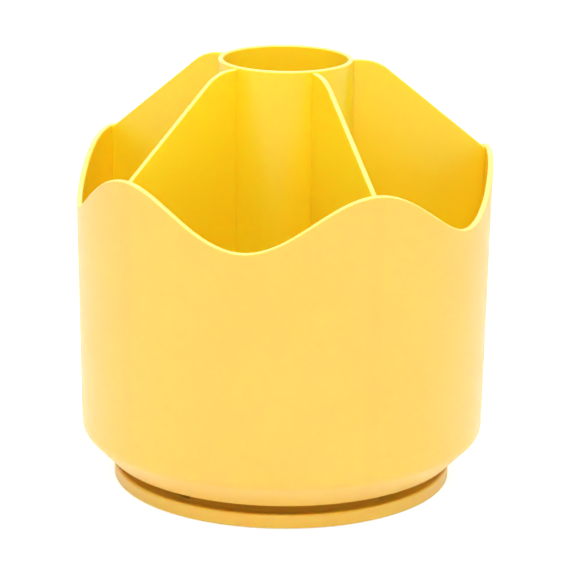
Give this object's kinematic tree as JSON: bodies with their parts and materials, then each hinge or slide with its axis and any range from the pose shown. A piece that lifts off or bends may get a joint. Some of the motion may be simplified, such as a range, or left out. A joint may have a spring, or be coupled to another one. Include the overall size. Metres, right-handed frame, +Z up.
{
  "type": "rotating pen holder",
  "caption": "Round desk pen holder with a wavy rim, radial dividers and a tall centre tube, which turns on a low round base on a ball bearing.",
  "frame": {"origin": "on the turning axis, on the plane that the feet stand on", "axes": "+Z up along the turning axis, -Y towards the viewer of the picture, +X to the viewer's right"},
  "size_m": [0.1268, 0.1268, 0.132],
  "materials": {
    "cup_plastic": "satin moulded plastic",
    "base_plastic": "satin moulded plastic",
    "cage_plastic": "smooth natural nylon",
    "ball_steel": "polished",
    "zinc_steel": "zinc plated",
    "foot_rubber": "matt"
  },
  "bodies": {
    "base": {"base": "base_plastic", "rubber_foot_1": "foot_rubber", "rubber_foot_2": "foot_rubber", "rubber_foot_3": "foot_rubber", "rubber_foot_4": "foot_rubber"},
    "cup": {"cup_body": "cup_plastic", "pivot_screw": "zinc_steel", "pivot_washer": "zinc_steel"},
    "cage": {"ball_cage": "cage_plastic"},
    "ball_01": {"ball_01": "ball_steel"},
    "ball_02": {"ball_02": "ball_steel"},
    "ball_03": {"ball_03": "ball_steel"},
    "ball_04": {"ball_04": "ball_steel"},
    "ball_05": {"ball_05": "ball_steel"},
    "ball_06": {"ball_06": "ball_steel"},
    "ball_07": {"ball_07": "ball_steel"},
    "ball_08": {"ball_08": "ball_steel"},
    "ball_09": {"ball_09": "ball_steel"},
    "ball_10": {"ball_10": "ball_steel"},
    "ball_11": {"ball_11": "ball_steel"},
    "ball_12": {"ball_12": "ball_steel"}
  },
  "joints": [
    {"name": "cup_spin", "type": "hinge", "parent": "base", "child": "cup", "pos_m": [0, 0, 0.0082], "axis": [0, 0, 1], "continuous": true},
    {"name": "cage_spin", "type": "hinge", "parent": "base", "child": "cage", "pos_m": [0, 0, 0.005], "axis": [0, 0, 1], "continuous": true},
    {"name": "ball_01_roll", "type": "hinge", "parent": "cage", "child": "ball_01", "pos_m": [0, -0.0385, 0.005], "axis": [0, -1, 0], "continuous": true},
    {"name": "ball_02_roll", "type": "hinge", "parent": "cage", "child": "ball_02", "pos_m": [0.01925, -0.03334, 0.005], "axis": [0.5, -0.866, 0], "continuous": true},
    {"name": "ball_03_roll", "type": "hinge", "parent": "cage", "child": "ball_03", "pos_m": [0.03334, -0.01925, 0.005], "axis": [0.866, -0.5, 0], "continuous": true},
    {"name": "ball_04_roll", "type": "hinge", "parent": "cage", "child": "ball_04", "pos_m": [0.0385, 0, 0.005], "axis": [1, 0, 0], "continuous": true},
    {"name": "ball_05_roll", "type": "hinge", "parent": "cage", "child": "ball_05", "pos_m": [0.03334, 0.01925, 0.005], "axis": [0.866, 0.5, 0], "continuous": true},
    {"name": "ball_06_roll", "type": "hinge", "parent": "cage", "child": "ball_06", "pos_m": [0.01925, 0.03334, 0.005], "axis": [0.5, 0.866, 0], "continuous": true},
    {"name": "ball_07_roll", "type": "hinge", "parent": "cage", "child": "ball_07", "pos_m": [0, 0.0385, 0.005], "axis": [0, 1, 0], "continuous": true},
    {"name": "ball_08_roll", "type": "hinge", "parent": "cage", "child": "ball_08", "pos_m": [-0.01925, 0.03334, 0.005], "axis": [-0.5, 0.866, 0], "continuous": true},
    {"name": "ball_09_roll", "type": "hinge", "parent": "cage", "child": "ball_09", "pos_m": [-0.03334, 0.01925, 0.005], "axis": [-0.866, 0.5, 0], "continuous": true},
    {"name": "ball_10_roll", "type": "hinge", "parent": "cage", "child": "ball_10", "pos_m": [-0.0385, 0, 0.005], "axis": [-1, 0, 0], "continuous": true},
    {"name": "ball_11_roll", "type": "hinge", "parent": "cage", "child": "ball_11", "pos_m": [-0.03334, -0.01925, 0.005], "axis": [-0.866, -0.5, 0], "continuous": true},
    {"name": "ball_12_roll", "type": "hinge", "parent": "cage", "child": "ball_12", "pos_m": [-0.01925, -0.03334, 0.005], "axis": [-0.5, -0.866, 0], "continuous": true}
  ],
  "couplings": [
    {"joint": "cage_spin", "follows": "cup_spin", "ratio": 0.5},
    {"joint": "ball_01_roll", "follows": "cup_spin", "ratio": -7.7},
    {"joint": "ball_02_roll", "follows": "cup_spin", "ratio": -7.7},
    {"joint": "ball_03_roll", "follows": "cup_spin", "ratio": -7.7},
    {"joint": "ball_04_roll", "follows": "cup_spin", "ratio": -7.7},
    {"joint": "ball_05_roll", "follows": "cup_spin", "ratio": -7.7},
    {"joint": "ball_06_roll", "follows": "cup_spin", "ratio": -7.7},
    {"joint": "ball_07_roll", "follows": "cup_spin", "ratio": -7.7},
    {"joint": "ball_08_roll", "follows": "cup_spin", "ratio": -7.7},
    {"joint": "ball_09_roll", "follows": "cup_spin", "ratio": -7.7},
    {"joint": "ball_10_roll", "follows": "cup_spin", "ratio": -7.7},
    {"joint": "ball_11_roll", "follows": "cup_spin", "ratio": -7.7},
    {"joint": "ball_12_roll", "follows": "cup_spin", "ratio": -7.7}
  ]
}
